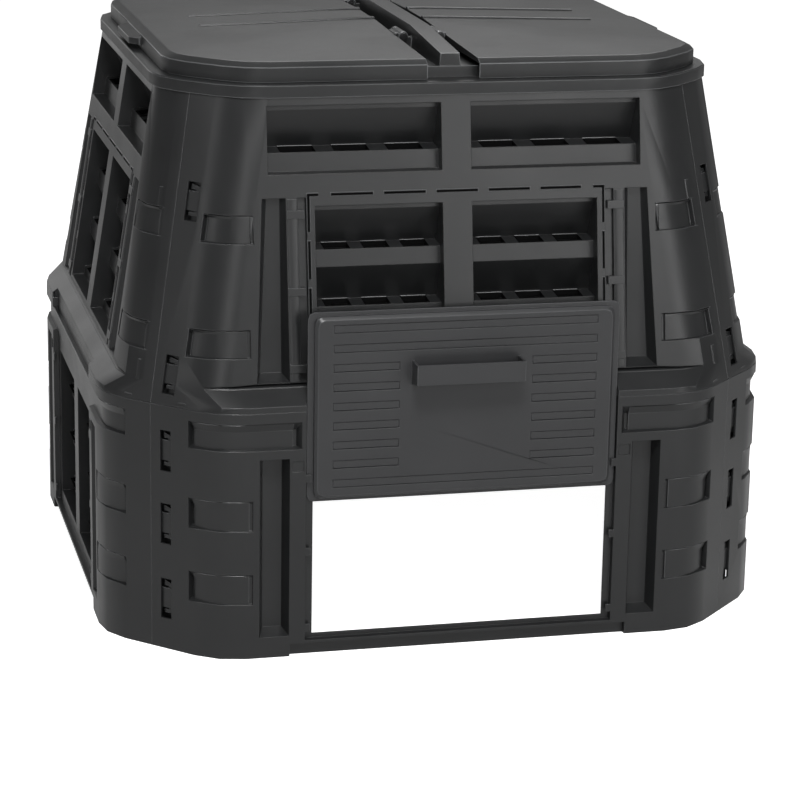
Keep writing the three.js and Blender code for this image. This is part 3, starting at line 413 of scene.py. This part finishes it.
# The point at a place along a panel, a height and a depth behind the outer surface
def wallPoint(tierName, quarter, place, z, depth):
    tier = outline[tierName]
    half, flat = flatHalf(tier, z)
    if "x" in place:
        x, y = place["x"], depth - half
    else:
        turn, run = place["turn"], runPast(place, tier)
        radius = outline["radius"] - depth
        x = place["side"] * (flat + radius * math.sin(turn) + run * math.cos(turn))
        y = outline["radius"] - half - radius * math.cos(turn) + run * math.sin(turn)
    turned = Matrix.Rotation(quarter * math.pi / 2, 3, "Z") @ Vector((x, y, 0))
    return Vector((turned.x, turned.y + outline["foreShift"], z)) * mm


# How far a place is from the panel's middle, along the outer surface
def travel(tierName, place, z):
    if "x" in place:
        return place["x"]
    tier = outline[tierName]
    _, flat = flatHalf(tier, z)
    return place["side"] * (flat + outline["radius"] * place["turn"] + runPast(place, tier))


# Places from a chamfer round the corner to the face, with fine steps on the bend
def roundCorner(side, fromSeam, inner):
    steps = outline["cornerSteps"]
    bend = [onCorner(side, chamferTurn * i / steps) for i in range(steps, -1, -1)]
    return [onChamfer(side, fromSeam), *bend, onFace(side * inner)]


def addBand(work, near, far):
    count = len(near)
    return [work.faces.new((near[i], far[i], far[(i + 1) % count], near[(i + 1) % count]))
            for i in range(count)]


# A closed body through rings of points
def addLoft(work, rings):
    made = [[work.verts.new(point) for point in ring] for ring in rings]
    faces = [work.faces.new(made[0]), work.faces.new(list(reversed(made[-1])))]
    for near, far in zip(made, made[1:]):
        faces += addBand(work, near, far)
    bmesh.ops.recalc_face_normals(work, faces=faces)


def addSweep(work, tierName, quarter, stops, section):
    addLoft(work, [[wallPoint(tierName, quarter, place, z, depth) for z, depth in section(place)]
                   for place in stops])


# A sweep of one section all along: between two heights, and between two depths
def addBlock(work, tierName, quarter, across, levels, depths):
    low, high = levels
    front, back = depths
    section = [(low, front), (low, back), (high, back), (high, front)]
    places = [onFace(x) for x in across]
    addSweep(work, tierName, quarter, places, lambda place: section)


def finishPiece(work, name, rounding, finish="wall_plastic", body="bin"):
    mesh = bpy.data.meshes.new(name)
    work.to_mesh(mesh)
    work.free()
    piece = bpy.data.objects.new(name, mesh)
    bpy.context.scene.collection.objects.link(piece)
    dress(piece, finish, rounding * mm, edges["sharp"]["wall_plastic"])
    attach(piece, body)


# Raised floors in the pads and the long groove, which leave a gutter at their ends
padFloors = {
    "lower": {
        "levels": ((76, 118), (178, 220)), "fromSeam": {-1: 61, 1: 42}, "inner": 283.98,
        "ramp": 12},
    "upper": {
        "levels": ((405, 442), (552, 589)), "fromSeam": {-1: 45, 1: 22}, "ramp": 5,
        "channelEdge": (273.98, 261.98), "channelLow": 372, "channelHeight": 238,
        "fromChannel": 9},
    "groove": {"levels": (288, 325), "inner": 224.98, "ramp": 12, "sunk": 2},
    "deep": 10, "shallow": 3, "least": 0.5, "rise": 3.6, "sunk": 2.2,
    "gutter": 4.6, "foot": 0.7, "brow": 1.2, "lip": 1.4, "rounding": 0.6,
}


def padSection(low, high, ramp, front, back):
    foot, top = low + padFloors["foot"], high - padFloors["brow"]
    return [(foot, front), (foot, back), (top, back), (top, padFloors["lip"]), (high - ramp, front)]


# A pad is deep towards the seam and shallow towards the face
def addPadFloor(work, tierName, quarter, side, levels, inner):
    tierLook = padFloors[tierName]
    low, high = levels
    middle = (low + high) / 2
    start = travel(tierName, onChamfer(side, tierLook["fromSeam"][side]), middle)
    end = side * inner

    def section(place):
        share = (travel(tierName, place, middle) - start) / (end - start)
        floor = padFloors["deep"] + (padFloors["shallow"] - padFloors["deep"]) * share
        front = max(floor - padFloors["rise"], padFloors["least"])
        return padSection(low, high, tierLook["ramp"], front, floor + padFloors["sunk"])

    gutter = padFloors["gutter"]
    stops = roundCorner(side, tierLook["fromSeam"][side] + gutter, inner + gutter)
    addSweep(work, tierName, quarter, stops, section)


def addGrooveFloor(work, quarter, stops):
    groove, deep = padFloors["groove"], padFloors["deep"]
    front, back = deep - padFloors["rise"], deep + groove["sunk"]
    section = padSection(*groove["levels"], groove["ramp"], front, back)
    addSweep(work, "lower", quarter, stops, lambda place: section)


def makeLowerPadFloors(sideName, quarter):
    lower, gutter = padFloors["lower"], padFloors["gutter"]
    work = bmesh.new()
    for side in (-1, 1):
        for levels in lower["levels"]:
            addPadFloor(work, "lower", quarter, side, levels, lower["inner"])
    left, right = (roundCorner(side, lower["fromSeam"][side] + gutter,
                               padFloors["groove"]["inner"] + gutter) for side in (-1, 1))
    if sideName == "front":  # the hatch parts the groove
        addGrooveFloor(work, quarter, left)
        addGrooveFloor(work, quarter, right)
    else:
        addGrooveFloor(work, quarter, left[:-1] + right[:-1][::-1])
    finishPiece(work, "lower_pad_floors_" + sideName, padFloors["rounding"])


def makeUpperPadFloors(sideName, quarter):
    upper = padFloors["upper"]
    wide, narrow = upper["channelEdge"]
    work = bmesh.new()
    for side in (-1, 1):
        for levels in upper["levels"]:
            above = levels[0] - upper["channelLow"]
            channel = wide + (narrow - wide) * above / upper["channelHeight"]
            addPadFloor(work, "upper", quarter, side, levels, channel + upper["fromChannel"])
    finishPiece(work, "upper_pad_floors_" + sideName, padFloors["rounding"])


for sideName, quarter in sides.items():
    makeLowerPadFloors(sideName, quarter)
    makeUpperPadFloors(sideName, quarter)
print("pad floors set in")

# Clips: two sprung leaves beside each tongue's blade, and the pocket wall behind the window.
# The leaves' outlines are in shares of the window's width and height.
clips = {
    "lower": {"levels": (43, 148, 249), "height": 56, "width": 17},
    "upper": {"levels": (354, 577), "height": 50, "width": 20},
    "fromSeam": 15.5, "leafDepths": (4.6, 7), "rounding": 0.4,
    "leaves": (
        ((0.16, 0.79), (0.58, 0.79), (0.58, 0.752), (0.995, 0.752), (0.995, 0.85), (0.16, 0.93)),
        ((0.16, 0.115), (0.995, 0.115), (0.995, 0.248), (0.58, 0.248), (0.58, 0.205),
         (0.16, 0.205))),
    "pocketDepths": (10.2, 12),
    "pocket": ((-0.8, -0.12), (1.8, -0.12), (1.8, 1.12), (-0.8, 1.12)),
}


def addClipPlate(work, tierName, quarter, low, shape, depths):
    tierLook = clips[tierName]
    addLoft(work, [[
        wallPoint(tierName, quarter, onChamfer(-1, clips["fromSeam"] + u * tierLook["width"]),
                  low + v * tierLook["height"], depth) for u, v in shape] for depth in depths])


def makeClips(sideName, quarter, tierName):
    leaves, pockets = bmesh.new(), bmesh.new()
    for low in clips[tierName]["levels"]:
        for shape in clips["leaves"]:
            addClipPlate(leaves, tierName, quarter, low, shape, clips["leafDepths"])
        addClipPlate(pockets, tierName, quarter, low, clips["pocket"], clips["pocketDepths"])
    finishPiece(leaves, tierName + "_clip_leaves_" + sideName, clips["rounding"])
    finishPiece(pockets, tierName + "_clip_pockets_" + sideName, clips["rounding"])


for sideName, quarter in sides.items():
    for tierName in ("lower", "upper"):
        makeClips(sideName, quarter, tierName)
print("clips fitted")

# Rounded bars beside the upper channels, which the hooks reach over
guideBars = {
    "inner": 215.6, "outer": 229.4, "levels": (373.5, 608.5), "proud": 1.2, "sunk": 1.5,
    "steps": 6, "rounding": 0.3,
}


def guideBarRing(quarter, side, z):
    middle = (guideBars["inner"] + guideBars["outer"]) / 2
    reach = (guideBars["outer"] - guideBars["inner"]) / 2
    steps = guideBars["steps"]
    turns = [math.pi * i / steps for i in range(steps + 1)]
    profile = [(-math.cos(turn), -guideBars["proud"] * math.sin(turn)) for turn in turns]
    profile += [(1, guideBars["sunk"]), (-1, guideBars["sunk"])]
    return [wallPoint("upper", quarter, onFace(side * (middle + reach * share)), z, depth)
            for share, depth in profile]


def makeGuideBars(sideName, quarter):
    work = bmesh.new()
    for side in (-1, 1):
        addLoft(work, [guideBarRing(quarter, side, z) for z in guideBars["levels"]])
    finishPiece(work, "guide_bars_" + sideName, guideBars["rounding"])


for sideName, quarter in sides.items():
    makeGuideBars(sideName, quarter)
print("guide bars set on")

# Dashed score line over the upper louvres, which turns down beside them: a raised rim with a
# near-black strip on it as painted shade for the groove
scoreLine = {
    "height": 613.5, "corner": 200.5, "dash": 56, "pitch": 71, "count": 5, "cornerLeg": 15,
    "drops": ((566, 613.5), (505, 554), (444, 493), (388, 432)), "sunk": 1, "rounding": 0.35,
    "rim": {"half": 2.7, "proud": 0.5, "finish": "wall_plastic"},
    # the slot is painted shade: a near-black strip laid proud on the rim
    "slot": {"half": 1.6, "proud": 0.65, "finish": "hole_shade"},
}


def makeScoreLine(sideName, quarter, partName):
    line, part = scoreLine, scoreLine[partName]
    half = part["half"]
    extra = half - line["slot"]["half"]
    depths = (-part["proud"], line["sunk"])
    levels = (line["height"] - half, line["height"] + half)
    work = bmesh.new()
    for i in range(line["count"]):
        middle = (i - (line["count"] - 1) / 2) * line["pitch"]
        reach = line["dash"] / 2 + extra
        addBlock(work, "upper", quarter, (middle - reach, middle + reach), levels, depths)
    for side in (-1, 1):
        outer = line["corner"] + half
        across = sorted((side * (outer - line["cornerLeg"] - extra), side * outer))
        addBlock(work, "upper", quarter, across, levels, depths)
        upright = sorted((side * (line["corner"] - half), side * outer))
        for low, top in line["drops"]:
            span = (low - extra, min(top + extra, levels[1]))
            addBlock(work, "upper", quarter, upright, span, depths)
    pieceName = "score_" + partName + "s_" + sideName
    finishPiece(work, pieceName, line["rounding"], finish=part["finish"])


for sideName, quarter in sides.items():
    for partName in ("rim", "slot"):
        makeScoreLine(sideName, quarter, partName)
print("score lines drawn")

# Liners in the holes of the louvre floors, near-black inside as painted shade, with a pale lip at the
# back as a painted highlight.
# Each field of louvres lies on both sides of the middle bar, with three holes to a floor.
floorHoles = {
    "fields": {
        "lower": ({"outer": 192, "floors": (210.5, 136.5, 62.5)},),
        "upper": ({"outer": 192, "floors": (538.5, 464.5, 390.5)},
                  {"outer": 253, "floors": (665,)}),
    },
    "middleBar": 20, "shares": (-0.31, 0, 0.31), "width": 0.2,
    "front": 18.8, "back": 44.6, "holeFront": 22, "holeBack": 41.6,
    "recess": 18, "depth": 46, "fall": 3,
    "thick": 0.5, "under": 0.3, "drop": 6, "sleeve": 0.4, "lip": 0.9,
    "linerRounding": 0.1, "lipRounding": 0.3,
}


def addHoleLiner(work, tierName, quarter, across, floor):
    look, sleeve = floorHoles, floorHoles["sleeve"]

    def addRing(grow, front, back, down):
        low, high = across[0] - grow, across[1] + grow
        ring = []
        for x, depth in ((low, front), (high, front), (high, back), (low, back)):
            rise = look["fall"] * (depth - look["recess"]) / (look["depth"] - look["recess"])
            z = floor + rise + look["thick"] - down
            ring.append(work.verts.new(wallPoint(tierName, quarter, onFace(x), z, depth)))
        return ring

    rings = [
        addRing(sleeve, look["front"], look["back"], 0),
        addRing(-sleeve, look["holeFront"], look["holeBack"], 0),
        addRing(-sleeve, look["holeFront"], look["holeBack"], look["drop"]),
        addRing(sleeve, look["front"], look["back"], look["thick"] + look["under"]),
    ]
    faces = []
    for near, far in zip(rings, rings[1:] + rings[:1]):
        faces += addBand(work, near, far)
    bmesh.ops.recalc_face_normals(work, faces=faces)


def addHoleLip(work, tierName, quarter, across, floor):
    look = floorHoles
    level = floor + look["fall"] + look["thick"]
    levels = (level, level + look["lip"])
    addBlock(work, tierName, quarter, across, levels, (look["back"] - look["lip"], look["back"]))


def makeFloorHoles(sideName, quarter, tierName):
    look, bar = floorHoles, floorHoles["middleBar"]
    liners, lips = bmesh.new(), bmesh.new()
    for field in look["fields"][tierName]:
        span = field["outer"] - bar
        half = look["width"] * span / 2
        for side in (-1, 1):
            for share in look["shares"]:
                middle = side * (field["outer"] + bar) / 2 + share * span
                across = (middle - half, middle + half)
                for floor in field["floors"]:
                    addHoleLiner(liners, tierName, quarter, across, floor)
                    addHoleLip(lips, tierName, quarter, across, floor)
    finishPiece(liners, tierName + "_hole_liners_" + sideName, look["linerRounding"],
                finish="hole_shade")
    finishPiece(lips, tierName + "_hole_lips_" + sideName, look["lipRounding"], finish="painted_highlight_lip")


for sideName, quarter in sides.items():
    if sideName != "front":  # the lower front panel has the hatch opening in their place
        makeFloorHoles(sideName, quarter, "lower")
    makeFloorHoles(sideName, quarter, "upper")
print("floor holes lined")

# Fills in the hatch's bars, nearly flush, with a thin dark line left round each
hatchBars = {
    "top": 240.7, "pitch": 26.2, "rows": 9, "longRows": (0, 1, 8), "height": 11,
    "reach": 179, "blank": 90, "front": -4.4, "sunk": 0.35, "back": 2.4,
    "foot": 1.6, "head": 0.8, "ends": 1.4, "rounding": 0.3,
}


def makeHatchBars(look):
    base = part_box("hatch_door")[0][2] / mm
    reach, blank = look["reach"], look["blank"]
    depths = (look["front"] + look["sunk"], look["front"] + look["back"])
    work = bmesh.new()
    for row in range(look["rows"]):
        high = base + look["top"] - look["pitch"] * row
        levels = (high - look["height"] + look["foot"], high - look["head"])
        isLong = row in look["longRows"]
        for left, right in [(-reach, reach)] if isLong else [(-reach, -blank), (blank, reach)]:
            across = (left + look["ends"], right - look["ends"])
            addBlock(work, "lower", sides["front"], across, levels, depths)
    finishPiece(work, "hatch_bars", look["rounding"], finish="hatch_plastic", body="hatch")


makeHatchBars(hatchBars)
print("hatch bars filled")
